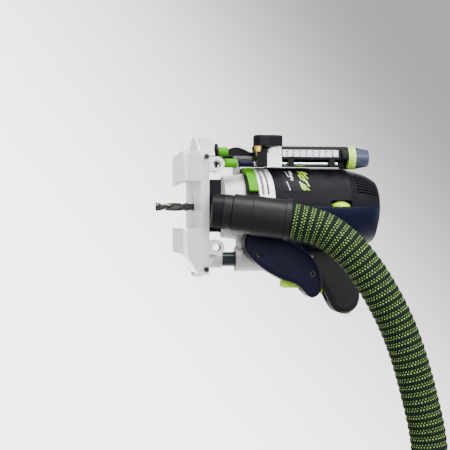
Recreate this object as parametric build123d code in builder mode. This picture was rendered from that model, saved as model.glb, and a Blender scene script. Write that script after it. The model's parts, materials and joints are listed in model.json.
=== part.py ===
from build123d import *
import math
import os

os.makedirs("parts", exist_ok=True)

# Plunge router, millimetres. +Z up along the spindle, origin on the spindle axis at the sole's underside.
# +X is the side of the grips, -X the side of the depth stop, -Y the side of the suction port.

# Driving dimensions
BASE_R = 82
BASE_FRONT = 80
FRONT_LOW_X, FRONT_HIGH_X = -60, 76
SOLE = 3
BASE_TOP = 9.3
BUSH_R = 15
ROD_BORE_R = 4.5
EAR_X, EAR_Z, EAR_R = 46, 18, 8.5
COLUMN_R = 8.5
COLUMN_TOP = 140
COLUMNS = [(61, -12), (-61, 12)]
SLEEVES = [(61, -12, 14.4), (-61, 12, 10.4)]
BOSS_R, BOSS_TOP = 10.3, 31.8
RIM, RIM_TOP = 3, 18.5
GUIDE_SCREW_CIRCLE_R, GUIDE_SCREW_R = 30, 2.1
RUN = 0.05
MOTOR_R = 47
SEAM_Z = 173
CAP_TOP = 220
TURRET = (-58.7, -28)
STOP_ORBIT, STOP_R = 8.5, 5.2
ROD = (-50.2, -28)
ROD_R = 3.2
ROD_NOTCH = 5.4
SCALE_LOW, SCALE_HIGH = 100.5, 178.8
STRIP_HIGH = 167
KNOB = (-57.5, -24)
BIT_TIP = -44
HOSE_R = 20
FLOOR = BIT_TIP
COIL_CENTRE = (517, 45)
COIL_TURNS_R = (86.2, 125.6, 165)


def keep(builder, label):
    builder.part.label = label
    export_step(builder.part, f"parts/{label}.step")


def post(x, y, low, high, radius, mode=Mode.ADD):
    with Locations((x, y, (low + high) / 2)):
        Cylinder(radius, high - low, mode=mode)


def block(low, high, mode=Mode.ADD):
    with Locations(tuple((a + b) / 2 for a, b in zip(low, high))):
        Box(*[b - a for a, b in zip(low, high)], mode=mode)


def rod_x(y, z, low, high, radius, mode=Mode.ADD):
    with Locations(Location(((low + high) / 2, y, z), (0, 90, 0))):
        Cylinder(radius, high - low, mode=mode)


def rod_y(x, z, low, high, radius, mode=Mode.ADD):
    with Locations(Location((x, (low + high) / 2, z), (90, 0, 0))):
        Cylinder(radius, high - low, mode=mode)


def on_orbit(angle):
    turn = math.radians(angle)
    return TURRET[0] + STOP_ORBIT * math.cos(turn), TURRET[1] + STOP_ORBIT * math.sin(turn)


# ---- base ----

with BuildPart() as base_casting:
    with BuildSketch(Plane.XY.offset(SOLE)) as outline:
        Circle(BASE_R)
        with Locations(((FRONT_LOW_X + FRONT_HIGH_X) / 2, -BASE_FRONT / 2)):
            RectangleRounded(FRONT_HIGH_X - FRONT_LOW_X, BASE_FRONT, 12)
        with Locations((0, -BASE_FRONT - 10)):
            Rectangle(200, 20, mode=Mode.SUBTRACT)
        Circle(20, mode=Mode.SUBTRACT)
        with Locations((4, -40)):
            Rectangle(24, 48, mode=Mode.SUBTRACT)
        with PolarLocations(GUIDE_SCREW_CIRCLE_R, 4, start_angle=45):
            Circle(GUIDE_SCREW_R, mode=Mode.SUBTRACT)
    extrude(amount=BASE_TOP - SOLE)
    for x, y in COLUMNS:
        post(x, y, BASE_TOP, BOSS_TOP, BOSS_R)
    for side in (-1, 1):
        for low, high in ((-79.5, -61), (44, 60)):
            x = side * EAR_X
            block((x - EAR_R + 0.6, low, BASE_TOP - 1), (x + EAR_R - 0.6, high, EAR_Z))
            rod_y(x, EAR_Z, low, high, EAR_R)
    with BuildSketch(Plane.XY.offset(BASE_TOP - 1)):
        Circle(BASE_R)
        Circle(BASE_R - RIM, mode=Mode.SUBTRACT)
        with BuildLine():
            far, near = math.radians(150), math.radians(226)
            Polyline((0, 0), (100 * math.cos(far), 100 * math.sin(far)), (-100, 0),
                     (100 * math.cos(near), 100 * math.sin(near)), (0, 0))
        make_face(mode=Mode.INTERSECT)
    extrude(amount=RIM_TOP - BASE_TOP + 1)
    with BuildSketch(Plane.XZ.offset(66)):
        Polygon((50, BASE_TOP - 1), (72, BASE_TOP - 1), (53.5, EAR_Z + 1.5), (50, EAR_Z + 1.5), align=None)
    extrude(amount=6)
    for side in (-1, 1):
        rod_y(side * EAR_X, EAR_Z, -90, 90, ROD_BORE_R, mode=Mode.SUBTRACT)
    for x, y in COLUMNS:
        post(x, y, 13, BOSS_TOP, COLUMN_R, mode=Mode.SUBTRACT)
        post(x, y, SOLE, 13, 3, mode=Mode.SUBTRACT)
        post(x, y, SOLE, 7, 5.6, mode=Mode.SUBTRACT)
keep(base_casting, "base_casting")

with BuildPart() as running_sole:
    with BuildSketch():
        Circle(BASE_R - 0.6)
        with Locations(((FRONT_LOW_X + FRONT_HIGH_X) / 2, -BASE_FRONT / 2)):
            RectangleRounded(FRONT_HIGH_X - FRONT_LOW_X, BASE_FRONT, 12)
        with Locations((0, -BASE_FRONT - 10)):
            Rectangle(200, 20, mode=Mode.SUBTRACT)
        Circle(BUSH_R, mode=Mode.SUBTRACT)
        with PolarLocations(GUIDE_SCREW_CIRCLE_R, 4, start_angle=45):
            Circle(GUIDE_SCREW_R, mode=Mode.SUBTRACT)
    extrude(amount=SOLE)
keep(running_sole, "running_sole")

with BuildPart() as column_screws:
    for x, y in COLUMNS:
        post(x, y, SOLE + 0.2, 6.9, 5.4)
        post(x, y, 6.9, 24, 2.9)
keep(column_screws, "column_screws")

with BuildPart() as guide_columns:
    for x, y in COLUMNS:
        post(x, y, 13, COLUMN_TOP, COLUMN_R)
        post(x, y, 42, COLUMN_TOP, 6.2, mode=Mode.SUBTRACT)
        post(x, y, 13, 25, 2.9, mode=Mode.SUBTRACT)
keep(guide_columns, "guide_columns")

with BuildPart() as column_springs:
    for x, y in COLUMNS:
        with BuildLine():
            Helix(pitch=9, height=90, radius=4.8, center=(x, y, 44))
        with BuildSketch(Plane(origin=(x + 4.8, y, 44), z_dir=(0, 1, 0.3))):
            Circle(0.8)
        sweep(is_frenet=True)
keep(column_springs, "column_springs")

# ---- clear chip hood, two walled bays that straddle the work's edge ----

HOOD_LOW, HOOD_BACK, WALL = -20, 45, 2.4
with BuildPart() as chip_hood:
    block((FRONT_LOW_X, -83, -0.1), (FRONT_HIGH_X, -BASE_FRONT - 0.2, BASE_TOP - 0.2))
    with BuildSketch(Plane.XY.offset(-0.1)):
        with Locations(((FRONT_LOW_X - 25) / 2, (HOOD_BACK - 83) / 2)):
            RectangleRounded(-25 - FRONT_LOW_X, HOOD_BACK + 83, 3)
    extrude(amount=HOOD_LOW + 0.1)
    with BuildSketch(Plane.XZ.offset(-HOOD_BACK)):
        Polygon((25, -0.1), (25, HOOD_LOW), (53, HOOD_LOW), (FRONT_HIGH_X - 1, -3), (FRONT_HIGH_X, -0.1),
                align=None)
    extrude(amount=HOOD_BACK + 83)
    block((FRONT_LOW_X + WALL, -83 + WALL, HOOD_LOW + WALL), (-25 - WALL, HOOD_BACK - WALL, 0),
          mode=Mode.SUBTRACT)
    with BuildSketch(Plane.XZ.offset(-HOOD_BACK + WALL)):
        Polygon((25 + WALL, 0), (25 + WALL, HOOD_LOW + WALL), (52, HOOD_LOW + WALL),
                (FRONT_HIGH_X - 4.5, -3), (FRONT_HIGH_X - 4.5, 0), align=None)
    extrude(amount=HOOD_BACK + 83 - 2 * WALL, mode=Mode.SUBTRACT)
    for x in (-54, 70):
        rod_y(x, 5.8, -84, -79, 1.9, mode=Mode.SUBTRACT)
keep(chip_hood, "chip_hood")

with BuildPart() as hood_screws:
    for x in (-54, 70):
        rod_y(x, 5.8, -85.4, -83, 3)
        rod_y(x, 5.8, -83, -80.1, 1.8)
keep(hood_screws, "hood_screws")

# ---- suction port, connector and hose ----

PORT_AXIS = Plane(origin=(5, -88, 12), x_dir=(1, 0, 0), z_dir=(11, -16, 84))
with BuildPart() as suction_port:
    block((-29, -79.8, BASE_TOP), (29, -50, 22.5))
    with BuildSketch(PORT_AXIS.offset(-1)):
        Circle(19)
    extrude(amount=13)
    with BuildSketch(PORT_AXIS.offset(12)):
        Circle(16.5)
    extrude(amount=22)
    with BuildSketch(PORT_AXIS.offset(4)):
        Circle(13.5)
    extrude(amount=40, mode=Mode.SUBTRACT)
    block((-7, -78, BASE_TOP - 1), (15, -52, 19), mode=Mode.SUBTRACT)
    block((-60, -120, -20), (60, 0, BASE_TOP), mode=Mode.SUBTRACT)
keep(suction_port, "suction_port")

with BuildPart() as connector_ring:
    with BuildSketch(PORT_AXIS.offset(12.2)):
        Circle(19.4)
        Circle(16.55, mode=Mode.SUBTRACT)
    extrude(amount=10)
    fillet(connector_ring.edges().filter_by(GeomType.CIRCLE).sort_by(Axis.Z)[-2:], 1)
keep(connector_ring, "connector_ring")

with BuildPart() as hose_connector:
    for low, high, radius in ((22.4, 44, 21), (44, 80, 21.9), (80, 86, 23.5)):
        with BuildSketch(PORT_AXIS.offset(low)):
            Circle(radius)
        extrude(amount=high - low)
    for low, high, radius in ((22.4, 34.4, 16.5), (34.4, 62, 14)):
        with BuildSketch(PORT_AXIS.offset(low)):
            Circle(radius)
        extrude(amount=high - low, mode=Mode.SUBTRACT)
    with BuildSketch(PORT_AXIS.offset(62)):
        Circle(HOSE_R)
    extrude(amount=30, mode=Mode.SUBTRACT)
keep(hose_connector, "hose_connector")

HOSE_START = PORT_AXIS.from_local_coords((0, 0, 62))
HOSE_ROUTE = [
    HOSE_START,
    PORT_AXIS.from_local_coords((0, 0, 112)),
    Vector(41, -117, 153),
    Vector(73, -121, 179),
    Vector(114, -122, 203),
    Vector(154, -123, 220),
    Vector(204, -124, 234),
    Vector(258, -126, 246),
    Vector(310, -128, 246),
    Vector(358, -131, 228),
    Vector(394, -134, 192),
    Vector(418, -136, 144),
    Vector(436, -137, 92),
    Vector(456, -138, 42),
    Vector(488, -139, 4),
    Vector(528, -139, -18),
    Vector(568, -131, -24),
    Vector(604, -113, -24),
]


def corner_radii(route):
    radii = []
    for before, corner, after in zip(route, route[1:], route[2:]):
        half_turn = math.radians((corner - before).get_angle(after - corner)) / 2
        shorter = min((corner - before).length, (after - corner).length)
        radii.append(0.45 * shorter / math.tan(half_turn))
    return radii


HOSE_RADII = corner_radii(HOSE_ROUTE)
print("hose radii", [round(r) for r in HOSE_RADII])

with BuildPart() as hose_tube:
    with BuildLine() as hose_path:
        FilletPolyline(*HOSE_ROUTE, radius=HOSE_RADII)
    with BuildSketch(Plane(origin=HOSE_ROUTE[0], z_dir=HOSE_ROUTE[1] - HOSE_ROUTE[0])):
        Circle(HOSE_R - 0.05)
    sweep()
hose_run = sum(edge.length for edge in hose_path.edges())
print("hose run", round(hose_run), "volume ratio",
      round(hose_tube.part.volume / (math.pi * (HOSE_R - 0.05) ** 2 * hose_run), 4))
keep(hose_tube, "hose_tube")

with BuildPart() as hose_coil:
    with Locations((*COIL_CENTRE, FLOOR + HOSE_R)):
        for turn_r in COIL_TURNS_R:
            Torus(turn_r, HOSE_R)
keep(hose_coil, "hose_coil")

# the extractor end of the hose lies on top of the coil
END_AXIS = Plane(origin=(560, -62, FLOOR + 2 * HOSE_R + 24.2), z_dir=(0.95, 0.31, 0))
with BuildPart() as hose_end_connector:
    for low, high, radius in ((0, 40, 22.5), (40, 46, 24), (46, 105, 19.5)):
        with BuildSketch(END_AXIS.offset(low)):
            Circle(radius)
        extrude(amount=high - low)
    with BuildSketch(END_AXIS.offset(35)):
        Circle(16)
    extrude(amount=80, mode=Mode.SUBTRACT)
keep(hose_end_connector, "hose_end_connector")

TIE_IN, TIE_OUT, TIE_HALF, TIE_THICK = 62, 189, 12, 2
with BuildPart() as coil_tie:
    x, y = COIL_CENTRE
    block((x - TIE_HALF, y + TIE_IN, FLOOR), (x + TIE_HALF, y + TIE_OUT, FLOOR + 2 * HOSE_R + 0.2 + TIE_THICK))
    block((x - TIE_HALF - 1, y + TIE_IN + TIE_THICK, FLOOR - 1),
          (x + TIE_HALF + 1, y + TIE_OUT - TIE_THICK, FLOOR + 2 * HOSE_R + 0.2), mode=Mode.SUBTRACT)
keep(coil_tie, "coil_tie")

# ---- depth turret ----

TURRET_LOW, TURRET_HIGH = 22.8, 24.8
with BuildPart() as turret_mount:
    post(*TURRET, BASE_TOP, TURRET_LOW - 0.2, 8)
    post(*TURRET, TURRET_LOW - 0.2, 29, 3)
keep(turret_mount, "turret_mount")

with BuildPart() as turret_disc:
    post(*TURRET, TURRET_LOW, TURRET_HIGH, 14.2)
    post(*TURRET, TURRET_LOW - 1, TURRET_HIGH + 1, 3.05, mode=Mode.SUBTRACT)
    for notch in range(3):
        angle = math.radians(60 + 120 * notch)
        post(TURRET[0] + 15.5 * math.cos(angle), TURRET[1] + 15.5 * math.sin(angle), TURRET_LOW - 1,
             TURRET_HIGH + 1, 3, mode=Mode.SUBTRACT)
keep(turret_disc, "turret_disc")

STOPS = [(0, 31.5, 48), (120, 25, 33), (240, 25, 36.5)]
with BuildPart() as stop_caps:
    for angle, low, high in STOPS:
        x, y = on_orbit(angle)
        with BuildSketch(Plane.XY.offset(low)):
            with Locations((x, y)):
                RegularPolygon(STOP_R, 12)
        extrude(amount=high - low)
    chamfer(stop_caps.faces().filter_by(Axis.Z).edges(), 0.8)
    for angle, low, high in STOPS:
        post(*on_orbit(angle), low - 1, high - 3, 2, mode=Mode.SUBTRACT)
keep(stop_caps, "stop_caps")

with BuildPart() as stop_screws:
    for angle, low, high in STOPS:
        post(*on_orbit(angle), TURRET_HIGH, high - 3, 1.95)
keep(stop_screws, "stop_screws")

# ---- carriage ----

SLEEVE_LOW, SLEEVE_HIGH = 48, 90
with BuildPart() as carriage_casting:
    with BuildSketch(Plane.XY.offset(34)):
        Circle(36)
    with BuildSketch(Plane.XY.offset(60)):
        Circle(40)
    loft()
    for x, y, sleeve_r in SLEEVES:
        post(x, y, SLEEVE_LOW, SLEEVE_HIGH, sleeve_r)
        side = 1 if x > 0 else -1
        block((min(30 * side, 55 * side), y - 8, 50), (max(30 * side, 55 * side), y + 8, 57))
    post(0, 0, 30, 70, 12, mode=Mode.SUBTRACT)
    post(0, 0, 44, 70, 16, mode=Mode.SUBTRACT)
    post(0, 0, 56, 70, 34, mode=Mode.SUBTRACT)
    for x, y in COLUMNS:
        post(x, y, SLEEVE_LOW - 1, SLEEVE_HIGH + 1, COLUMN_R + RUN, mode=Mode.SUBTRACT)
keep(carriage_casting, "carriage_casting")

ROCKER = (197, 248)
ROCKER_LOW = 54.6
COLLAR_LOW = 57.2


def ring_sector(inner, outer, low, high, start, stop, mode=Mode.ADD):
    """A piece of a ring about the spindle, between two angles in degrees."""
    with BuildSketch(Plane.XZ) as profile:
        with Locations(((inner + outer) / 2, (low + high) / 2)):
            Rectangle(outer - inner, high - low)
    revolve(profile.sketch.rotate(Axis.Z, start), axis=Axis.Z, revolution_arc=stop - start, mode=mode)


BAND_TILT = 7.4
BAND_LOW, BAND_HIGH = 66.3, 84.3


def cut_beyond(z, side):
    """Cuts away all on one side of the leaning plane that crosses the spindle axis at z."""
    with Locations(Location((0, 0, z), (-BAND_TILT, 0, 0))):
        Box(120, 120, 100, align=(Align.CENTER, Align.CENTER, side), mode=Mode.SUBTRACT)


def leaning_ring(inner, outer, low, high, start, stop):
    """A piece of a ring whose two faces lean with the band."""
    with BuildPart(mode=Mode.PRIVATE) as piece:
        ring_sector(inner, outer, 40, 100, start, stop)
        cut_beyond(low, Align.MAX)
        cut_beyond(high, Align.MIN)
    return piece.part


with BuildPart() as lock_collar:
    post(0, 0, COLLAR_LOW, 76, 46)
    post(0, 0, COLLAR_LOW, 60, 40.2, mode=Mode.SUBTRACT)
    post(0, 0, 60, 76, 36, mode=Mode.SUBTRACT)
    cut_beyond(BAND_LOW, Align.MIN)
    add(leaning_ring(43, 60, ROCKER_LOW - 0.7, BAND_HIGH, ROCKER[0] - 4, ROCKER[1] + 4), mode=Mode.SUBTRACT)
keep(lock_collar, "lock_collar")

with BuildPart() as spindle_lock_rocker:
    add(leaning_ring(43.3, 48.4, ROCKER_LOW, BAND_LOW - 0.7, *ROCKER))
    fillet(spindle_lock_rocker.edges().filter_by(Axis.Z), 1.5)
keep(spindle_lock_rocker, "spindle_lock_rocker")

with BuildPart() as vent_band:
    post(0, 0, 56, 96, 46.6)
    post(0, 0, 56, 96, 42, mode=Mode.SUBTRACT)
    cut_beyond(BAND_LOW, Align.MAX)
    cut_beyond(BAND_HIGH, Align.MIN)
    for x, y in ((-28, -36), (28, -36), (-28, 36), (28, 36)):
        for rise in (4.7, 10.7):
            with Locations(Location((0, 0, BAND_LOW + rise), (-BAND_TILT, 0, 0))):
                with Locations((x, y, 0)):
                    Box(29, 48, 2.7, mode=Mode.SUBTRACT)
keep(vent_band, "vent_band")

DIAL_Y, DIAL_Z, DIAL_R = -38, 168, 11.6
DIAL_SLOT = ((-7, -52, DIAL_Z - 12.2), (1, -26, DIAL_Z + 12.2))
with BuildPart() as motor_housing:
    post(0, 0, 72, SEAM_Z, MOTOR_R)
    post(0, 0, 70, SEAM_Z + 1, MOTOR_R - 3, mode=Mode.SUBTRACT)
    cut_beyond(BAND_HIGH, Align.MAX)
    block(*DIAL_SLOT, mode=Mode.SUBTRACT)
keep(motor_housing, "motor_housing")

CAP_PROFILE = [(MOTOR_R, SEAM_Z), (45.9, 180), (43.3, 189), (39, 204), (33.6, 214)]
with BuildPart() as end_cap:
    with BuildSketch(Plane.XZ):
        with BuildLine():
            Spline(*CAP_PROFILE, (24, CAP_TOP - 0.6), tangents=((0, 1), (-1, 0.05)))
            Polyline((24, CAP_TOP - 0.6), (0, CAP_TOP), (0, CAP_TOP - 4), (21, CAP_TOP - 4.5),
                     (29, 210.5), (35.4, 200), (40, 186), (43.4, SEAM_Z), (MOTOR_R, SEAM_Z))
        make_face()
    revolve(axis=Axis.Z)
    for row in range(8):
        with BuildSketch(Plane.XY.offset(188)):
            with PolarLocations(40, 1, start_angle=180 + math.degrees(math.acos((41.5 - 3.5 * row) / 43))):
                SlotOverall(15, 1.6)
        extrude(amount=32, mode=Mode.SUBTRACT)
    ring_sector(43.8, MOTOR_R + 2, SEAM_Z, SEAM_Z + 7, 180, 265)
    ring_sector(MOTOR_R, MOTOR_R + 3, SEAM_Z - 1, SEAM_Z + 8, 170, 275, mode=Mode.SUBTRACT)
    block(*DIAL_SLOT, mode=Mode.SUBTRACT)
keep(end_cap, "end_cap")

COVER_ARC = 90
with BuildPart() as side_cover:
    with BuildSketch(Plane.XZ) as cover_profile:
        with BuildLine():
            Polyline((MOTOR_R + 0.05, 97), (MOTOR_R + 3, 100), (MOTOR_R + 3, 180))
            Spline((MOTOR_R + 3, 180), (MOTOR_R, 200), (MOTOR_R - 6, 214), tangents=((0, 1), (-1, 1)))
            Polyline((MOTOR_R - 6, 214), (37, 213), (41, 204), (44.8, 189), (MOTOR_R + 0.05, 178),
                     (MOTOR_R + 0.05, 97))
        make_face()
    revolve(cover_profile.sketch.rotate(Axis.Z, -COVER_ARC), axis=Axis.Z, revolution_arc=2 * COVER_ARC)
    block(*DIAL_SLOT, mode=Mode.SUBTRACT)
keep(side_cover, "side_cover")

with BuildPart() as label_plate:
    ring_sector(MOTOR_R + 0.02, MOTOR_R + 0.4, 100, 131, 208, 249)
keep(label_plate, "label_plate")

with BuildPart() as speed_dial:
    with BuildSketch(Plane.XZ) as dome:
        with BuildLine():
            Polyline((0.3, DIAL_Z), (0.3, DIAL_Z + DIAL_R), (-0.6, DIAL_Z + DIAL_R))
            Spline((-0.6, DIAL_Z + DIAL_R), (-3, DIAL_Z + 10.6), (-5, DIAL_Z + 7.6), (-6.5, DIAL_Z),
                   tangents=((-1, 0), (0, -1)))
            Line((-6.5, DIAL_Z), (0.3, DIAL_Z))
        make_face()
    revolve(dome.sketch.moved(Location((0, DIAL_Y, 0))), axis=Axis((0, DIAL_Y, DIAL_Z), (1, 0, 0)))
    rod_x(DIAL_Y, DIAL_Z, -9, 3, 2)
keep(speed_dial, "speed_dial")

# ---- motor ----

with BuildPart() as stator:
    post(0, 0, 100, 142, MOTOR_R - 3.1)
    post(0, 0, 99, 143, 25, mode=Mode.SUBTRACT)
    for angle in (45, 135, 225, 315):
        turn = math.radians(angle)
        post(35 * math.cos(turn), 35 * math.sin(turn), 99, 143, 5, mode=Mode.SUBTRACT)
keep(stator, "stator")

with BuildPart() as armature:
    post(0, 0, 96, 146, 24)
    post(0, 0, 95, 147, 6, mode=Mode.SUBTRACT)
    for slot in range(12):
        turn = math.radians(30 * slot)
        with Locations(Location((24 * math.cos(turn), 24 * math.sin(turn), 121), (0, 0, 30 * slot))):
            Box(5, 2, 60, mode=Mode.SUBTRACT)
keep(armature, "armature")

with BuildPart() as spindle_shaft:
    post(0, 0, 30, 62, 9)
    post(0, 0, 44, 55, 7.5)
    post(0, 0, 62, 186, 6)
    with BuildSketch(Plane.XY.offset(29)):
        Circle(5.4)
    extrude(amount=22, mode=Mode.SUBTRACT)
    with BuildSketch(Plane.XY.offset(44)):
        Circle(12)
        Circle(7.5, mode=Mode.SUBTRACT)
    extrude(amount=11, mode=Mode.SUBTRACT)
keep(spindle_shaft, "spindle_shaft")

with BuildPart() as commutator:
    post(0, 0, 150, 164, 13)
    post(0, 0, 149, 165, 6, mode=Mode.SUBTRACT)
keep(commutator, "commutator")

with BuildPart() as cooling_fan:
    post(0, 0, 76, 78.5, 38)
    post(0, 0, 76, 88, 10)
    for blade in range(9):
        with Locations(Location((0, 0, 0), (0, 0, 40 * blade))):
            with Locations((23, 0, 82)):
                Box(27, 1.6, 10)
    post(0, 0, 70, 90, 6, mode=Mode.SUBTRACT)
keep(cooling_fan, "cooling_fan")

with BuildPart() as lower_bearing:
    post(0, 0, 44.2, 54.8, 15.98)
    post(0, 0, 44, 55, 7.53, mode=Mode.SUBTRACT)
keep(lower_bearing, "lower_bearing")

with BuildPart() as upper_bearing:
    post(0, 0, 176, 184, 13)
    post(0, 0, 175, 185, 6.03, mode=Mode.SUBTRACT)
keep(upper_bearing, "upper_bearing")

with BuildPart() as bearing_bridge:
    post(0, 0, 175, 184, 39.8)
    post(0, 0, 174, 185, 13.02, mode=Mode.SUBTRACT)
    block(*DIAL_SLOT, mode=Mode.SUBTRACT)
    for angle in (0, 90, 180, 270):
        turn = math.radians(angle)
        post(29 * math.cos(turn), 29 * math.sin(turn), 174, 185, 10, mode=Mode.SUBTRACT)
keep(bearing_bridge, "bearing_bridge")

with BuildPart() as brush_holders:
    for side in (-1, 1):
        block((min(13.3 * side, 36 * side), -4, 153), (max(13.3 * side, 36 * side), 4, 161))
keep(brush_holders, "brush_holders")

with BuildPart() as collet:
    post(0, 0, 18, 40, 5.3)
    post(0, 0, 17, 41, 4, mode=Mode.SUBTRACT)
keep(collet, "collet")

with BuildPart() as collet_nut:
    with BuildSketch(Plane.XY.offset(15)):
        RegularPolygon(11, 6)
    extrude(amount=14.8)
    chamfer(collet_nut.faces().filter_by(Axis.Z).edges(), 0.8)
    post(0, 0, 14, 31, 5.35, mode=Mode.SUBTRACT)
keep(collet_nut, "collet_nut")

with BuildPart() as router_bit:
    with BuildSketch(Plane.XY.offset(BIT_TIP)):
        Circle(4.9)
        for side in (-1, 1):
            with Locations((side * 4.6, side * 1.6)):
                Circle(2.6, mode=Mode.SUBTRACT)
    extrude(amount=34)
    with BuildSketch(Plane.XY.offset(BIT_TIP + 34)):
        Circle(4.9)
    extrude(amount=4)
    post(0, 0, BIT_TIP + 38, 39, 3.98)
keep(router_bit, "router_bit")

# ---- near grip, with the plunge lock lever ----

GRIP_OUTLINE = [(33, 51), (48, 50.5), (63, 62), (76, 80), (84, 97), (89, 110), (97, 118), (103, 127),
                (99, 134), (86, 138), (72, 135), (57, 126), (45, 112), (37, 98), (32, 72)]
NEAR_IN, NEAR_SPLIT, NEAR_OUT = -46, -62, -79


def grip_face(y):
    with BuildSketch(Plane.XZ.offset(-y)) as face:
        with BuildLine():
            Spline(*GRIP_OUTLINE, periodic=True)
        make_face()
    return face.sketch


with BuildPart() as near_grip_outer:
    extrude(grip_face(NEAR_SPLIT), amount=NEAR_SPLIT - NEAR_OUT)
    fillet(near_grip_outer.faces().sort_by(Axis.Y)[0].edges(), 5)
    block((66, -68, 90), (110, NEAR_SPLIT, 117), mode=Mode.SUBTRACT)
    rod_y(54.5, 66, -80, -68, 3.2, mode=Mode.SUBTRACT)
    rod_y(76, 127, -80, -72, 4, mode=Mode.SUBTRACT)
keep(near_grip_outer, "near_grip_outer")

with BuildPart() as near_grip_inner:
    extrude(grip_face(NEAR_IN), amount=NEAR_IN - NEAR_SPLIT)
    fillet(near_grip_inner.faces().sort_by(Axis.Y)[-1].edges(), 5)
    block((36, -54, 56), (54, -24, 86))
    block((66, NEAR_SPLIT, 90), (110, -56, 117), mode=Mode.SUBTRACT)
    post(0, 0, 0, 200, MOTOR_R + 3.1, mode=Mode.SUBTRACT)
    post(*COLUMNS[0], 0, 150, 14.6, mode=Mode.SUBTRACT)
keep(near_grip_inner, "near_grip_inner")

with BuildPart() as plunge_lock_lever:
    with BuildSketch(Plane.XZ.offset(56.4)):
        with BuildLine():
            Polyline((72, 116), (72, 108), (80, 92.5), (91, 93), (92, 96), (92, 116.4), (72, 116.4), close=True)
        make_face()
    extrude(amount=11.2)
    rod_y(77, 111, -70, -55, 2.05, mode=Mode.SUBTRACT)
keep(plunge_lock_lever, "plunge_lock_lever")

with BuildPart() as lever_pin:
    rod_y(77, 111, -68, -56, 2)
keep(lever_pin, "lever_pin")

with BuildPart() as grip_screws:
    rod_y(54.5, 66, -74, -68, 3.1)
    rod_y(76, 127, -76, -72, 3.9)
keep(grip_screws, "grip_screws")

# ---- far grip, with the power switch ----

FAR_OUTLINE = [(46, 112), (64, 130), (84, 150), (112, 166), (126, 176), (128, 190), (118, 202), (100, 204),
               (78, 196), (60, 186), (46, 184)]
FAR_LOW, FAR_SPLIT, FAR_HIGH = 6, 24, 42


def far_face(y):
    with BuildSketch(Plane.XZ.offset(-y)) as face:
        with BuildLine():
            Spline(*FAR_OUTLINE[1:-1])
            Polyline(FAR_OUTLINE[-2], FAR_OUTLINE[-1], (30, 184), (30, 112), FAR_OUTLINE[0], FAR_OUTLINE[1])
        make_face()
    return face.sketch


for name, low, high, outer in (("far_grip_front", FAR_LOW, FAR_SPLIT, 0), ("far_grip_back", FAR_SPLIT, FAR_HIGH, -1)):
    with BuildPart() as far_grip:
        extrude(far_face(high), amount=high - low)
        fillet(far_grip.faces().sort_by(Axis.Y)[outer].edges().filter_by(GeomType.BSPLINE), 7)
        block((60, FAR_SPLIT - 8, 120), (116, FAR_SPLIT + 8, 168), mode=Mode.SUBTRACT)
        post(0, 0, 90, 182, MOTOR_R + 3.05, mode=Mode.SUBTRACT)
        post(0, 0, 182, 230, MOTOR_R + 3.05, mode=Mode.SUBTRACT)
        rod_x(FAR_SPLIT, 190, 110, 140, 6.2, mode=Mode.SUBTRACT)
    keep(far_grip, name)

with BuildPart() as switch_trigger:
    block((88, FAR_SPLIT - 7.6, 140), (104, FAR_SPLIT + 7.6, 159.5))
    block((70, FAR_SPLIT - 7.6, 138), (88, FAR_SPLIT + 7.6, 152))
keep(switch_trigger, "switch_trigger")

with BuildPart() as lock_button:
    rod_x(FAR_SPLIT, 190, 117, 129.5, 5.9)
keep(lock_button, "lock_button")

with BuildPart() as switch_module:
    block((62, FAR_SPLIT - 7.5, 158), (86, FAR_SPLIT + 7.5, 167.8))
keep(switch_module, "switch_module")

# ---- depth stop ----

TONGUE = ((-70, -13.5), (-60, -4.5))
CLAMP = (-34.5, 71.8)
with BuildPart() as depth_bracket:
    block((-66, -38, 70), (-46.8, -2, 82))
    block((-72, -15.5, 70), (-58, -2.6, 98))
    block((TONGUE[0][0] - 0.3, TONGUE[0][1] - 0.3, 60), (TONGUE[1][0] + 0.3, TONGUE[1][1] + 0.3, 110),
          mode=Mode.SUBTRACT)
    block((ROD[0] - ROD_NOTCH, ROD[1] - ROD_NOTCH, 60), (-40, ROD[1] + ROD_NOTCH, 110), mode=Mode.SUBTRACT)
    post(0, 0, 60, 110, MOTOR_R + 0.05, mode=Mode.SUBTRACT)
    post(*COLUMNS[1], 60, 110, 10.6, mode=Mode.SUBTRACT)
    rod_x(*CLAMP, -70, -55, 3, mode=Mode.SUBTRACT)
    rod_x(*CLAMP, -70, -63.4, 4.3, mode=Mode.SUBTRACT)
keep(depth_bracket, "depth_bracket")

with BuildPart() as pointer_block:
    block((-69, -37, 84), (-45.6, -16, 98.8))
    block((-62, -37, 82.05), (-45.6, -16, 84))
    with BuildSketch(Plane.XZ.offset(37)):
        Polygon((-70, 83), (-64, 83), (-70, 90), align=None)
    extrude(amount=-22, mode=Mode.SUBTRACT)
    post(*ROD, 60, 110, 5.8, mode=Mode.SUBTRACT)
    post(0, 0, 60, 110, MOTOR_R + 0.05, mode=Mode.SUBTRACT)
keep(pointer_block, "pointer_block")

with BuildPart() as clamp_screw:
    rod_x(*CLAMP, -70, -58, 2.95)
    rod_x(*CLAMP, -70, -63.6, 4)
keep(clamp_screw, "clamp_screw")

with BuildPart() as clamp_lever:
    with BuildSketch(Plane.YZ.offset(-82.5)):
        with BuildLine():
            Polyline((-43, 73), (-42.5, 96), (-39, 99.5), (-29, 99.5), (-25.5, 96), (-26, 73))
            ThreePointArc((-26, 73), (-34.5, 66), (-43, 73))
        make_face()
    extrude(amount=12.3)
    fillet(clamp_lever.faces().sort_by(Axis.X)[0].edges(), 2.5)
    for rib in range(6):
        block((-84, -50, 84 + 2.6 * rib), (-70, -42.2, 85.1 + 2.6 * rib), mode=Mode.SUBTRACT)
keep(clamp_lever, "clamp_lever")

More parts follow.
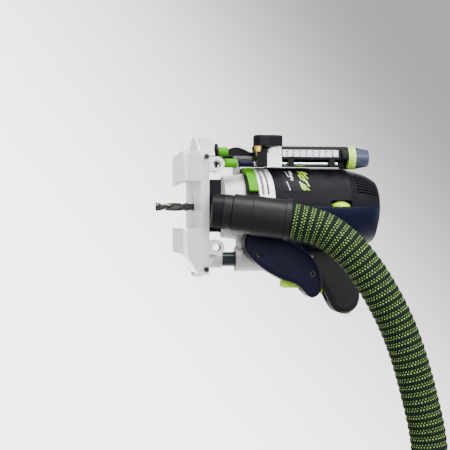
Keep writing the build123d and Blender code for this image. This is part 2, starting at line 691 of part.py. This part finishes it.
with BuildPart() as scale_housing:
    block((-70.5, -33, SCALE_LOW), (-47.1, -10, SCALE_HIGH))
    fillet(scale_housing.edges().filter_by(Axis.Z).sort_by(Axis.X)[:2], 4)
    post(*KNOB, SCALE_HIGH - 7.6, SCALE_HIGH, 13)
    with BuildSketch(Plane.XZ.offset(-TONGUE[1][1])):
        with BuildLine():
            Spline((-60, 38.5), (-65.5, 39), (-69.2, 44.5), (-69.9, 50.5), (-68, 57.5), (-65.2, 64), (-63.5, 71))
            Polyline((-63.5, 71), (-63.5, SCALE_LOW + 6), (-60, SCALE_LOW + 6), (-60, 38.5))
        make_face()
    extrude(amount=TONGUE[1][1] - TONGUE[0][1])
    block((-55, -40, SCALE_LOW - 1), (-46, -23.5, SCALE_HIGH + 1), mode=Mode.SUBTRACT)
    block((-66.2, -34, SCALE_LOW - 1), (-57.8, -32.4, STRIP_HIGH + 0.2), mode=Mode.SUBTRACT)
    post(0, 0, 80, 200, MOTOR_R + 0.3, mode=Mode.SUBTRACT)
    post(*KNOB, SCALE_HIGH - 8, SCALE_HIGH + 1, 4, mode=Mode.SUBTRACT)
keep(scale_housing, "scale_housing")

with BuildPart() as scale_strip:
    block((-66, -33.2, SCALE_LOW + 0.2), (-58, -32.4, STRIP_HIGH))
keep(scale_strip, "scale_strip")

with BuildPart() as scale_ring:
    post(*KNOB, SCALE_HIGH + 0.3, SCALE_HIGH + 8.6, 13.4)
    post(*KNOB, SCALE_HIGH, SCALE_HIGH + 9, 6.2, mode=Mode.SUBTRACT)
keep(scale_ring, "scale_ring")

with BuildPart() as fine_knob:
    post(*KNOB, SCALE_HIGH + 0.4, SCALE_HIGH + 8.6, 6.1)
    with BuildSketch(Plane.XY.offset(SCALE_HIGH + 8.6)):
        with Locations(KNOB):
            Circle(13.2)
    with BuildSketch(Plane.XY.offset(SCALE_HIGH + 25)):
        with Locations(KNOB):
            Circle(10)
    loft()
    for flute in range(14):
        turn = math.radians(flute * 360 / 14)
        post(KNOB[0] + 14 * math.cos(turn), KNOB[1] + 14 * math.sin(turn), SCALE_HIGH + 10.4,
             SCALE_HIGH + 27, 1.7, mode=Mode.SUBTRACT)
    post(*KNOB, SCALE_HIGH - 7, SCALE_HIGH + 1, 3.9)
keep(fine_knob, "fine_knob")

with BuildPart() as stop_rod:
    post(*ROD, 56, 167, ROD_R)
    fillet(stop_rod.edges().filter_by(GeomType.CIRCLE), 0.6)
keep(stop_rod, "stop_rod")

with BuildPart() as rod_tip:
    post(*ROD, 50, 67.5, 4.5)
    post(*ROD, 56, 70, ROD_R, mode=Mode.SUBTRACT)
keep(rod_tip, "rod_tip")

with BuildPart() as rod_pointers:
    for low in (107, 155.5):
        block((-54.6, -33, low), (-46.3, -24, low + 7))
        with BuildSketch(Plane.XZ.offset(33.4)):
            Polygon((-46.3, low), (-54.6, low), (-59, low + 5), (-54.6, low + 7), (-46.3, low + 7), align=None)
        extrude(amount=2)
    block((-54.6, -33.4, 107), (-46.3, -33, 114))
    block((-54.6, -33.4, 155.5), (-46.3, -33, 162.5))
    post(*ROD, 100, 170, ROD_R, mode=Mode.SUBTRACT)
    post(0, 0, 80, 200, MOTOR_R + 0.4, mode=Mode.SUBTRACT)
keep(rod_pointers, "rod_pointers")
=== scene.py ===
import bpy
import json
import math
import random
from mathutils import Matrix, Vector

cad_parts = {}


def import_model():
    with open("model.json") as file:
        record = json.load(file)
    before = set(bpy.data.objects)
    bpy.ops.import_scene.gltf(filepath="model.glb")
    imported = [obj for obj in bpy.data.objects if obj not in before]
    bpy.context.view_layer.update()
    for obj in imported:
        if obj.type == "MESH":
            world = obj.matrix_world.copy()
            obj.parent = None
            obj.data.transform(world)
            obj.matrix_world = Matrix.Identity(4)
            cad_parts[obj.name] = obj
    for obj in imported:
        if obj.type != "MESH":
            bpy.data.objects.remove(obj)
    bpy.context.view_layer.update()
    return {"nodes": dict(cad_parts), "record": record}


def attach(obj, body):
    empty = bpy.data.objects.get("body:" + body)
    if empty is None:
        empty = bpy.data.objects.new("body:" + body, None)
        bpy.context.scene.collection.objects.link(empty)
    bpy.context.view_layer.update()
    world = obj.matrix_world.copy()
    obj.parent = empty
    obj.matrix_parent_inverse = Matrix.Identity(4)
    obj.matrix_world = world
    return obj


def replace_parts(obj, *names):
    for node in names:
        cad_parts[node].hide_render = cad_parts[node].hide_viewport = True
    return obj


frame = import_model()
random.seed(7)
MM = 0.001

# ---- camera: the tool is seen lying on its side, so the camera is rolled a quarter turn ----

TARGET = Vector((0.0212, 0.0, 0.0381))
DISTANCE = 1.25
PITCH = math.radians(8)
forward = Vector((0, math.cos(PITCH), math.sin(PITCH)))
right = Vector((0, -math.sin(PITCH), math.cos(PITCH)))
up = Vector((-1, 0, 0))
camera_data = bpy.data.cameras.new("camera")
camera_data.sensor_width = 36
camera_data.lens = 84.7
camera = bpy.data.objects.new("camera", camera_data)
bpy.context.collection.objects.link(camera)
camera.matrix_world = Matrix.Translation(TARGET - forward * DISTANCE) @ Matrix(
    (right, up, -forward)).transposed().to_4x4()
bpy.context.scene.camera = camera


# ---- materials ----

def new_material(name):
    material = bpy.data.materials.new(name)
    material.use_nodes = True
    nodes = material.node_tree.nodes
    return material, nodes, material.node_tree.links, nodes["Principled BSDF"]


def noise(nodes, links, scale, detail=4.0, stretch=(1, 1, 1)):
    """Noise in the object's own space; scale is in features per metre."""
    coordinates = nodes.new("ShaderNodeTexCoord")
    mapping = nodes.new("ShaderNodeMapping")
    mapping.inputs["Scale"].default_value = stretch
    texture = nodes.new("ShaderNodeTexNoise")
    texture.inputs["Scale"].default_value = scale
    texture.inputs["Detail"].default_value = detail
    links.new(coordinates.outputs["Object"], mapping.inputs["Vector"])
    links.new(mapping.outputs["Vector"], texture.inputs["Vector"])
    return texture.outputs["Fac"]


def ramp(nodes, links, source, low, high, start=0.3, stop=0.7):
    node = nodes.new("ShaderNodeValToRGB")
    node.color_ramp.elements[0].position = start
    node.color_ramp.elements[1].position = stop
    node.color_ramp.elements[0].color = (*low, 1)
    node.color_ramp.elements[1].color = (*high, 1)
    links.new(source, node.inputs["Fac"])
    return node.outputs["Color"]


def scaled(nodes, links, source, low, high):
    node = nodes.new("ShaderNodeMapRange")
    node.inputs["To Min"].default_value = low
    node.inputs["To Max"].default_value = high
    links.new(source, node.inputs["Value"])
    return node.outputs["Result"]


def relief(nodes, links, shader, height, depth, edge=0.0006):
    """Bump from a height, over a normal rounded at the edges."""
    bevel = nodes.new("ShaderNodeBevel")
    bevel.samples = 4
    bevel.inputs["Radius"].default_value = edge
    bump = nodes.new("ShaderNodeBump")
    bump.inputs["Strength"].default_value = 1.0
    bump.inputs["Distance"].default_value = depth
    links.new(height, bump.inputs["Height"])
    links.new(bevel.outputs["Normal"], bump.inputs["Normal"])
    links.new(bump.outputs["Normal"], shader.inputs["Normal"])


def tint(colour, factor):
    return tuple(min(1.0, c * factor) for c in colour)


def plastic(name, colour, rough=0.45, grain=2600, depth=0.00003, spread=0.12, coat=0.0, edge=0.0008,
            specular=0.5):
    """Moulded plastic with spark-eroded grain, faint colour drift and rubbed patches."""
    material, nodes, links, shader = new_material(name)
    drift = noise(nodes, links, 38, 3)
    fine = noise(nodes, links, grain, 2)
    links.new(ramp(nodes, links, drift, tint(colour, 1 - spread), tint(colour, 1 + spread)),
              shader.inputs["Base Color"])
    links.new(scaled(nodes, links, noise(nodes, links, 120, 5), rough - 0.09, rough + 0.09),
              shader.inputs["Roughness"])
    shader.inputs["Coat Weight"].default_value = coat
    shader.inputs["Specular IOR Level"].default_value = specular
    relief(nodes, links, shader, fine, depth, edge)
    return material


def metal(name, colour, rough=0.35, stretch=(1, 1, 1), grain=700, depth=0.00002, metallic=1.0, edge=0.0005):
    """Bare metal: cast where the grain is even, ground or drawn where it is stretched."""
    material, nodes, links, shader = new_material(name)
    shader.inputs["Metallic"].default_value = metallic
    fine = noise(nodes, links, grain, 5, stretch)
    links.new(ramp(nodes, links, fine, tint(colour, 0.82), tint(colour, 1.12)), shader.inputs["Base Color"])
    links.new(scaled(nodes, links, noise(nodes, links, 90, 4, stretch), rough - 0.1, rough + 0.12),
              shader.inputs["Roughness"])
    relief(nodes, links, shader, fine, depth, edge)
    return material


def clear_plastic(name):
    """Polycarbonate with faint moulding ripple, light scuffs and a slight grey body tint."""
    material, nodes, links, shader = new_material(name)
    shader.inputs["IOR"].default_value = 1.25
    shader.inputs["Transmission Weight"].default_value = 0.74
    scuff = noise(nodes, links, 260, 6, (1, 1, 3))
    links.new(ramp(nodes, links, scuff, (0.985, 0.99, 0.99), (1, 1, 1)), shader.inputs["Base Color"])
    links.new(ramp(nodes, links, scuff, (0.0,) * 3, (0.05,) * 3, 0.6, 0.8), shader.inputs["Roughness"])
    relief(nodes, links, shader, noise(nodes, links, 60, 2), 0.0001, 0.0008)
    return material


SPIN = (1, 1, 0.03)
MATERIALS = {
    "cast_aluminium": metal("cast_aluminium", (0.60, 0.59, 0.565), 0.5, grain=1500, depth=0.00012,
                            metallic=0.3),
    "sole_plastic": plastic("sole_plastic", (0.88, 0.88, 0.87), 0.35, coat=0.1, spread=0.04),
    "screw_steel": metal("screw_steel", (0.05, 0.05, 0.055), 0.4),
    "dark_column": metal("dark_column", (0.012, 0.020, 0.022), 0.35, (1, 1, 0.05), metallic=0.4),
    "spring_steel": metal("spring_steel", (0.5, 0.5, 0.52), 0.3),
    "clear_plastic": clear_plastic("clear_plastic"),
    "black_plastic": plastic("black_plastic", (0.0028, 0.0031, 0.0045), 0.42, specular=0.09),
    "connector_rubber": plastic("connector_rubber", (0.0036, 0.0034, 0.0034), 0.45, 1500, 0.00005,
                                specular=0.16),
    "tie_webbing": plastic("tie_webbing", (0.02, 0.02, 0.022), 0.8, 900, 0.0003),
    "green_plastic": plastic("green_plastic", (0.062, 0.27, 0.004), 0.5, specular=0.08),
    "charcoal_plastic": plastic("charcoal_plastic", (0.0068, 0.0068, 0.0092), 0.5, specular=0.05),
    "white_plastic": plastic("white_plastic", (0.90, 0.905, 0.91), 0.35, spread=0.03),
    "navy_plastic": plastic("navy_plastic", (0.0036, 0.0045, 0.0155), 0.4, specular=0.09, edge=0.0022),
    "charcoal_gloss": plastic("charcoal_gloss", (0.0068, 0.0068, 0.0092), 0.45, specular=0.06),
    "lamination_steel": metal("lamination_steel", (0.3, 0.3, 0.32), 0.45, (1, 1, 40)),
    "bearing_steel": metal("bearing_steel", (0.6, 0.6, 0.62), 0.2, SPIN),
    "brush_brass": metal("brush_brass", (0.7, 0.5, 0.2), 0.35),
    "spindle_steel": metal("spindle_steel", (0.5, 0.5, 0.52), 0.28, SPIN),
    "black_rubber_grip": plastic("black_rubber_grip", (0.0028, 0.0028, 0.0042), 0.55, 1300, 0.00012,
                                 specular=0.2),
    "commutator_copper": metal("commutator_copper", (0.7, 0.36, 0.2), 0.3, SPIN),
    "fan_plastic": plastic("fan_plastic", (0.02, 0.02, 0.02), 0.5),
    "nut_steel": metal("nut_steel", (0.10, 0.10, 0.11), 0.38),
    # cutter: base colour kept very dark as a painted reflection, standing in for the dark surroundings the
    # metal reflects
    "bit_carbide": metal("bit_carbide", (0.085, 0.082, 0.075), 0.14, (1, 1, 0.2)),
    "lime_plastic": plastic("lime_plastic", (0.36, 0.62, 0.01), 0.4, coat=0.05, spread=0.05),
    "clamp_brass": metal("clamp_brass", (0.78, 0.52, 0.10), 0.28),
    "scale_white": plastic("scale_white", (0.66, 0.64, 0.71), 0.4, spread=0.03),
    "pale_lime_plastic": plastic("pale_lime_plastic", (0.40, 0.66, 0.05), 0.35, spread=0.05),
    "blue_grey_plastic": plastic("blue_grey_plastic", (0.022, 0.028, 0.060), 0.4),
    "rod_steel": metal("rod_steel", (0.42, 0.50, 0.50), 0.2, SPIN),
}

for part in frame["record"]["subparts"]:
    if part["material_slot"] in MATERIALS:
        node = frame["nodes"][part["node"]]
        node.data.materials.clear()
        node.data.materials.append(MATERIALS[part["material_slot"]])

# ---- suction hose ----

HOSE_D = 0.040
FLOOR = -0.044
PORT = Vector((0.005, -0.088, 0.012))
PORT_WAY = Vector((11, -16, 84)).normalized()
COIL_CENTRE = Vector((0.517, 0.045))
COIL_R, COIL_PITCH = 0.185, 0.041
LAID = FLOOR + HOSE_D / 2


def hose_points():
    """Out of the port, over and down to the floor, a flat coil wound inwards, then up onto the coil."""
    points = [PORT + PORT_WAY * d for d in (0.062, 0.112)]
    points += [Vector(p) * MM for p in (
        (41, -117, 153), (73, -121, 179), (114, -122, 203), (154, -123, 220), (204, -124, 234),
        (258, -126, 246), (310, -128, 246), (358, -131, 228), (394, -134, 192), (418, -136, 144),
        (436, -137, 92), (456, -138, 42), (488, -139, 4), (528, -139, -18), (568, -131, -24),
        (604, -113, -24))]
    step = math.pi / 8
    first, last = math.radians(-38), math.radians(900)
    for i in range(int((last - first) / step) + 1):
        angle = first + i * step
        radius = (COIL_R - COIL_PITCH * (angle + math.pi / 2) / (2 * math.pi)) / math.cos(step / 2)
        turn = Vector((math.cos(angle), math.sin(angle))) * radius
        points.append(Vector((*(COIL_CENTRE + turn), LAID)))
    points += [Vector(p) * MM for p in (
        (447, 12, -16), (456, -18, 2), (476, -44, 16), (506, -66, 20), (540, -68.5, 20.2),
        (584, -54.2, 20.2))]
    return points


def nurbs(name, points):
    data = bpy.data.curves.new(name, "CURVE")
    data.dimensions = "3D"
    data.resolution_u = 24
    spline = data.splines.new("NURBS")
    spline.points.add(len(points) - 1)
    for target, point in zip(spline.points, points):
        target.co = (*point, 1)
    spline.order_u = 3
    spline.use_endpoint_u = True
    item = bpy.data.objects.new(name, data)
    bpy.context.collection.objects.link(item)
    return item


def centreline(points):
    guide = nurbs("guide", points)
    mesh = bpy.data.meshes.new_from_object(guide)
    line = [vertex.co.copy() for vertex in mesh.vertices]
    bpy.data.objects.remove(guide)
    bpy.data.meshes.remove(mesh)
    return line


def resample(line, step):
    """Points evenly spaced along a line, with their distances along it."""
    out, travelled, target = [], 0.0, 0.0
    for a, b in zip(line, line[1:]):
        span = (b - a).length
        while span > 0 and target <= travelled + span:
            out.append((a.lerp(b, (target - travelled) / span), target))
            target += step
        travelled += span
    return out, travelled


HOSE_LINE = centreline(hose_points())
RIB = 0.0083
GROOVE = 0.0009
hose_samples, hose_run = resample(HOSE_LINE, RIB / 6)
print("hose run", round(hose_run, 3))


def tube(name, samples, around, radius_at, material):
    """A closed tube along samples; its UV map holds metres along and metres around."""
    vertices, faces, loops = [], [], []
    tangent = (samples[1][0] - samples[0][0]).normalized()
    side = tangent.orthogonal().normalized()
    for i, (point, distance) in enumerate(samples):
        ahead = samples[min(i + 1, len(samples) - 1)][0] - samples[max(i - 1, 0)][0]
        ahead.normalize()
        side = (side - ahead * side.dot(ahead)).normalized()
        other = ahead.cross(side)
        for k in range(around):
            angle = 2 * math.pi * k / around
            out = side * math.cos(angle) + other * math.sin(angle)
            vertices.append(point + out * radius_at(distance))
    for i in range(len(samples) - 1):
        for k in range(around):
            n = (k + 1) % around
            faces.append((i * around + k, (i + 1) * around + k, (i + 1) * around + n, i * around + n))
            loops.append(((i, k), (i + 1, k), (i + 1, k + 1), (i, k + 1)))
    faces.append(tuple(range(around)))
    faces.append(tuple(reversed(range((len(samples) - 1) * around, len(samples) * around))))
    mesh = bpy.data.meshes.new(name)
    mesh.from_pydata(vertices, [], faces)
    layer = mesh.uv_layers.new(name="along")
    index = 0
    for face in loops:
        for i, k in face:
            layer.data[index].uv = (samples[i][1], k / around)
            index += 1
    mesh.polygons.foreach_set("use_smooth", [True] * len(mesh.polygons))
    mesh.materials.append(material)
    item = bpy.data.objects.new(name, mesh)
    bpy.context.collection.objects.link(item)
    return item


def math_node(nodes, links, operation, a, b=None, c=None):
    node = nodes.new("ShaderNodeMath")
    node.operation = operation
    for socket, value in zip(node.inputs, (a, b, c)):
        if value is None:
            continue
        if isinstance(value, (int, float)):
            socket.default_value = value
        else:
            links.new(value, socket)
    return node.outputs[0]


FLECKS = 36


def braid_material():
    """Black woven sleeve with lime flecks in pairs on each rib, offset from row to row."""
    material, nodes, links, shader = new_material("hose_braid")
    uv = nodes.new("ShaderNodeUVMap")
    uv.uv_map = "along"
    parts = nodes.new("ShaderNodeSeparateXYZ")
    links.new(uv.outputs["UV"], parts.inputs[0])
    wobble = noise(nodes, links, 300, 2)

    def op(operation, a, b=None):
        return math_node(nodes, links, operation, a, b)

    rows = op("DIVIDE", parts.outputs[0], RIB)
    row_place = op("FRACT", rows)
    around = op("ADD", op("MULTIPLY", parts.outputs[1], float(FLECKS)), op("MULTIPLY", wobble, 0.5))

    def hump(place, centre, width, soft):
        distance = op("ABSOLUTE", op("SUBTRACT", place, centre))
        node = nodes.new("ShaderNodeMapRange")
        node.interpolation_type = "SMOOTHSTEP"
        node.inputs["From Min"].default_value = width + soft
        node.inputs["From Max"].default_value = width - soft
        links.new(distance, node.inputs["Value"])
        return node.outputs["Result"]

    def flecks(row_centre, offset):
        place = op("FRACT", op("ADD", around, offset))
        return op("MULTIPLY", hump(row_place, row_centre, 0.085, 0.05), hump(place, 0.5, 0.17, 0.09))

    fleck = op("MAXIMUM", flecks(0.34, 0.0), flecks(0.66, 0.5))
    thread = op("MULTIPLY", hump(op("FRACT", op("MULTIPLY", around, 3.0)), 0.5, 0.3, 0.2),
                hump(op("FRACT", op("MULTIPLY", rows, 6.0)), 0.5, 0.3, 0.2))
    dark = ramp(nodes, links, thread, (0.0012, 0.0032, 0.0026), (0.005, 0.016, 0.007), 0.1, 0.9)
    bright = ramp(nodes, links, noise(nodes, links, 420, 3), (0.075, 0.22, 0.015), (0.38, 0.50, 0.15))
    mix = nodes.new("ShaderNodeMix")
    mix.data_type = "RGBA"
    links.new(fleck, mix.inputs["Factor"])
    links.new(dark, mix.inputs["A"])
    links.new(bright, mix.inputs["B"])
    links.new(mix.outputs["Result"], shader.inputs["Base Color"])
    links.new(scaled(nodes, links, wobble, 0.55, 0.8), shader.inputs["Roughness"])
    shader.inputs["Specular IOR Level"].default_value = 0.1
    height = op("ADD", op("MULTIPLY", fleck, 0.8), op("MULTIPLY", thread, 0.5))
    bump = nodes.new("ShaderNodeBump")
    bump.inputs["Distance"].default_value = 0.0004
    links.new(height, bump.inputs["Height"])
    links.new(bump.outputs["Normal"], shader.inputs["Normal"])
    return material


def hose_radius(distance):
    return HOSE_D / 2 - GROOVE * (0.5 - 0.5 * math.cos(2 * math.pi * distance / RIB)) ** 2


hose = tube("suction_hose", hose_samples, 48, hose_radius, braid_material())
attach(hose, "base")
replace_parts(hose, "hose_tube", "hose_coil")

# ---- printed marks, painted recess shade and ribs ----

def piece(name, vertices, faces, slot, body):
    mesh = bpy.data.meshes.new(name)
    mesh.from_pydata([Vector(v) * MM for v in vertices], [], faces)
    mesh.materials.append(MATERIALS[slot])
    item = bpy.data.objects.new(name, mesh)
    bpy.context.collection.objects.link(item)
    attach(item, body)
    return item


BOX_FACES = ((0, 2, 3, 1), (4, 5, 7, 6), (0, 1, 5, 4), (2, 6, 7, 3), (0, 4, 6, 2), (1, 3, 7, 5))


def solids(name, shapes, slot, body):
    """Many eight-cornered blocks as one piece; each is eight points, x fastest, then y, then z."""
    vertices, faces = [], []
    for corners in shapes:
        start = len(vertices)
        vertices += corners
        faces += [tuple(start + i for i in face) for face in BOX_FACES]
    return piece(name, vertices, faces, slot, body)


def block(low, high):
    return [(x, y, z) for z in (low[2], high[2]) for y in (low[1], high[1]) for x in (low[0], high[0])]


def curved(radius, thick, start, stop, low, high, slant=0.0, centre=(0, 0), cells=6):
    """Cells of a thin plate on a cylinder about Z, between two angles in degrees; slant tips it along Z."""
    shapes = []
    for i in range(cells):
        a, b = (start + (stop - start) * k / cells for k in (i, i + 1))
        corners = []
        for z in (low, high):
            for r in (radius, radius + thick):
                for angle in (a, b):
                    turn = math.radians(angle)
                    rise = slant * ((angle - start) / (stop - start) - 0.5)
                    corners.append((centre[0] + r * math.cos(turn), centre[1] + r * math.sin(turn), z + rise))
        shapes.append(corners)
    return shapes


def hexagon(name, centre, normal, radius, depth, slot, body, sides=6):
    """A short prism; in black it is painted shade standing for the recess in a screw's head."""
    centre, normal = Vector(centre), Vector(normal).normalized()
    side = normal.orthogonal().normalized()
    other = normal.cross(side)
    turns = [2 * math.pi * k / sides for k in range(sides)]
    ring = [side * math.cos(turn) * radius + other * math.sin(turn) * radius for turn in turns]
    vertices = [centre + p for p in ring] + [centre + normal * depth + p for p in ring]
    faces = [tuple(reversed(range(sides))), tuple(range(sides, 2 * sides))]
    faces += [(k, (k + 1) % sides, (k + 1) % sides + sides, k + sides) for k in range(sides)]
    return piece(name, [tuple(v) for v in vertices], faces, slot, body)


# scale marks on the strip, every fifth with its short partner
marks = []
for i in range(8):
    z = 106 + 7.7 * i
    marks.append(block((-62.4, -33.35, z - 0.5), (-58.6, -33.2, z + 0.5)))
    marks.append(block((-65.3, -33.35, z - 1.1), (-63.2, -33.2, z - 0.2)))
    marks.append(block((-65.3, -33.35, z + 0.3), (-63.2, -33.2, z + 1.2)))
solids("scale_marks", marks, "black_plastic", "depth_slider")

KNOB = (-57.5, -24)
RING_R, MARK = 13.4, 0.12
ring_marks = []
for i in range(24):
    ring_marks += curved(RING_R, MARK, 15 * i - 1.0, 15 * i + 1.0, 180.6, 183.4 if i % 2 else 185.0,
                         centre=KNOB, cells=1)
solids("ring_marks", ring_marks, "black_plastic", "fine_adjuster")

# generic printing on the label plate: a white rule, a broken white line and a lime block of bars
LABEL_R = 47.4


def print_row(spans, low, high, cells):
    shapes = []
    for start, stop in spans:
        shapes += curved(LABEL_R, MARK, start, stop, low, high, cells)
    return shapes


solids("label_rule", print_row(((209, 224), (232, 247)), 106, 106.7, 3), "white_plastic", "carriage")
solids("label_dashes", print_row(((209, 213), (214.5, 219), (220.5, 226), (228, 230)), 109.8, 112.3, 2),
       "white_plastic", "carriage")
bars = []
for row, spans in enumerate((((209, 216), (218, 229), (232, 246)),
                             ((210, 214), (216, 224), (226, 231), (235, 247)),
                             ((209, 220), (223, 234), (237, 246)),
                             ((211, 217), (220, 227), (230, 241), (243, 247)))):
    bars += print_row(spans, 120.6 + 2.5 * row, 122.3 + 2.5 * row, 3)
solids("label_bars", bars, "lime_plastic", "carriage")

# screw recesses: black prisms as painted shade, standing for the shade inside each recess
hexagon("recess_shade_grip_upper", (76, -76.1, 127), (0, 1, 0), 1.9, 0.2, "black_plastic", "carriage")
hexagon("recess_shade_grip_lower", (54.5, -74.1, 66), (0, 1, 0), 1.6, 0.2, "black_plastic", "carriage")
hexagon("recess_shade_hood_left", (-54, -85.5, 5.8), (0, 1, 0), 1.4, 0.2, "black_plastic", "base")
hexagon("recess_shade_hood_right", (70, -85.5, 5.8), (0, 1, 0), 1.4, 0.2, "black_plastic", "base")

# shallow creases across the rocker, which leans with the band behind it
ROCKER_R, LEAN = 48.4, 0.13
creases = []
for k in range(5):
    angle = 205 + 8.4 * k
    rise = -LEAN * ROCKER_R * math.sin(math.radians(angle))
    creases += curved(ROCKER_R - 0.04, 0.1, angle - 0.35, angle + 0.35, 56 + rise, 64.2 + rise, cells=1)
solids("rocker_creases", creases, "green_plastic", "lock_rocker")

# ---- cutter with two spiral flutes ----

TIP, FLUTES_END, SHANK_START, SHANK_END = -44, -9, -6, 39
CUTTER_R, SHANK_R, LEAD = 4.9, 3.98, 48
SECTION = [(0.0, 1.0), (0.1, 0.98), (0.18, 0.74), (0.32, 0.6), (0.46, 0.66), (0.6, 0.84), (0.72, 0.97)]


def flute_radius(share):
    """Radius of the cutter over its full radius, share of a half turn after a cutting edge."""
    points = SECTION + [(1.0, 1.0)]
    for (a, low_r), (b, high_r) in zip(points, points[1:]):
        if a <= share <= b:
            return low_r + (high_r - low_r) * (share - a) / (b - a)
    return 1.0


def cutter():
    around, levels, vertices = 48, 90, []
    heights = [TIP + (FLUTES_END - TIP) * i / levels for i in range(levels + 1)]
    heights += [FLUTES_END + 1, FLUTES_END + 2, SHANK_START, SHANK_START + 0.3, SHANK_END]
    for z in heights:
        fade = min(1.0, max(0.0, (z - FLUTES_END + 5) / 5))
        full = CUTTER_R if z <= SHANK_START else SHANK_R
        for k in range(around):
            share = (2 * k / around + 2 * (z - TIP) / LEAD) % 1.0
            r = full * (flute_radius(share) * (1 - fade) + fade)
            turn = 2 * math.pi * k / around
            vertices.append((r * math.cos(turn), r * math.sin(turn), z))
    faces = [tuple(reversed(range(around))), tuple(range(len(vertices) - around, len(vertices)))]
    for i in range(len(heights) - 1):
        for k in range(around):
            n = (k + 1) % around
            faces.append((i * around + k, i * around + n, (i + 1) * around + n, (i + 1) * around + k))
    return piece("spiral_cutter", vertices, faces, "bit_carbide", "spindle")


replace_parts(cutter(), "router_bit")

# ---- floor, light and background ----

def plane(name, corners):
    mesh = bpy.data.meshes.new(name)
    mesh.from_pydata(corners, [], [(0, 1, 2, 3)])
    item = bpy.data.objects.new(name, mesh)
    bpy.context.collection.objects.link(item)
    return item


def floor_material():
    """Pale floor, seen from above only: from below it lets sight through."""
    material, nodes, links, shader = new_material("floor_pale")
    drift = ramp(nodes, links, noise(nodes, links, 3, 2), (0.72,) * 3, (0.78,) * 3)
    links.new(drift, shader.inputs["Base Color"])
    shader.inputs["Roughness"].default_value = 0.7
    geometry = nodes.new("ShaderNodeNewGeometry")
    clear = nodes.new("ShaderNodeBsdfTransparent")
    mix = nodes.new("ShaderNodeMixShader")
    links.new(geometry.outputs["Backfacing"], mix.inputs[0])
    links.new(shader.outputs[0], mix.inputs[1])
    links.new(clear.outputs[0], mix.inputs[2])
    links.new(mix.outputs[0], nodes["Material Output"].inputs["Surface"])
    return material


low = FLOOR - 0.0005
floor = plane("floor", [(-4, -4, low), (5, -4, low), (5, 4, low), (-4, 4, low)])
floor.data.materials.append(floor_material())


def area(name, place, aim, size, power, colour=(1, 1, 1)):
    data = bpy.data.lights.new(name, "AREA")
    data.shape = "DISK"
    data.size = size
    data.energy = power
    data.color = colour
    item = bpy.data.objects.new(name, data)
    item.location = place
    item.rotation_mode = "QUATERNION"
    item.rotation_quaternion = (Vector(aim) - Vector(place)).to_track_quat("-Z", "Y")
    bpy.context.collection.objects.link(item)


MIDDLE = (0.05, -0.03, 0.08)
area("key", (-1.4, -0.5, 0.3), MIDDLE, 0.7, 40)
area("front_fill", (-0.7, -1.5, 0.75), MIDDLE, 1.2, 52)
area("top_soft", (0.3, -0.2, 1.9), MIDDLE, 1.4, 14)
area("rim", (-0.6, 1.3, 0.5), MIDDLE, 0.8, 12)


def world():
    """A pale studio surround: bright behind and at the cutter end, greyer beyond the motor, dim in front."""
    surround = bpy.data.worlds.new("surround")
    bpy.context.scene.world = surround
    surround.use_nodes = True
    nodes, links = surround.node_tree.nodes, surround.node_tree.links
    coordinates = nodes.new("ShaderNodeTexCoord")
    slope = nodes.new("ShaderNodeVectorMath")
    slope.operation = "DOT_PRODUCT"
    slope.inputs[1].default_value = (-1.0, 0.0, 1.25)
    links.new(coordinates.outputs["Generated"], slope.inputs[0])
    place = nodes.new("ShaderNodeMapRange")
    place.inputs["From Min"].default_value = -0.15
    place.inputs["From Max"].default_value = 0.6
    links.new(slope.outputs["Value"], place.inputs["Value"])
    shade = nodes.new("ShaderNodeValToRGB")
    shade.color_ramp.interpolation = "B_SPLINE"
    stops = shade.color_ramp.elements
    stops[0].position, stops[0].color = 0.2, (1, 1, 1, 1)
    stops[1].position, stops[1].color = 0.85, (0.11, 0.11, 0.112, 1)
    for position, level in ((0.39, 0.72), (0.56, 0.47), (0.70, 0.24)):
        stops.new(position).color = (level, level, level, 1)
    links.new(place.outputs["Result"], shade.inputs["Fac"])
    links.new(shade.outputs["Color"], nodes["Background"].inputs["Color"])
    parts = nodes.new("ShaderNodeSeparateXYZ")
    links.new(coordinates.outputs["Generated"], parts.inputs[0])
    behind = nodes.new("ShaderNodeMapRange")
    behind.interpolation_type = "SMOOTHSTEP"
    behind.inputs["From Min"].default_value = -0.5
    behind.inputs["From Max"].default_value = 0.7
    behind.inputs["To Min"].default_value = 0.9
    behind.inputs["To Max"].default_value = 4.6
    links.new(parts.outputs[1], behind.inputs["Value"])
    links.new(behind.outputs["Result"], nodes["Background"].inputs["Strength"])


world()
